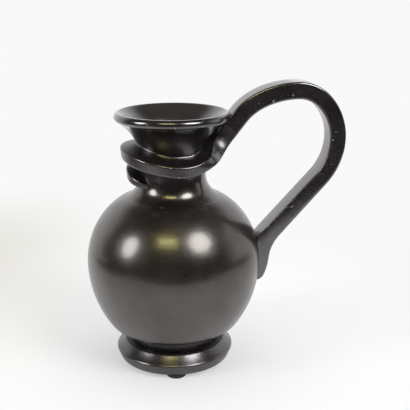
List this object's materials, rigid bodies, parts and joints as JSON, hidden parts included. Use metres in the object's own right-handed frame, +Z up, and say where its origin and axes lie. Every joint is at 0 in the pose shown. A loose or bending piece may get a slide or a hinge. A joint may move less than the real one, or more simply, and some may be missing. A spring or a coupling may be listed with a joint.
{
  "type": "oinochoe jug",
  "caption": "Dark glazed ceramic jug for pouring: round body on a turned foot, flared cup mouth and a high strap handle whose slit upper end wraps round the neck.",
  "frame": {"origin": "on the jug's turned axis, in the plane of the pads it stands on", "axes": "+Z up along the turned axis, +X towards the handle, -Y towards the side where the collar sits lowest"},
  "size_m": [0.2061, 0.1394, 0.2286],
  "materials": {
    "glaze": "satin",
    "pad_rubber": "matte"
  },
  "bodies": {
    "root": {"base_pads": "pad_rubber", "foot_ring": "glaze", "globe": "glaze", "neck": "glaze", "mouth_cup": "glaze", "handle_strap": "glaze", "collar_front": "glaze", "collar_rear": "glaze"}
  },
  "joints": []
}
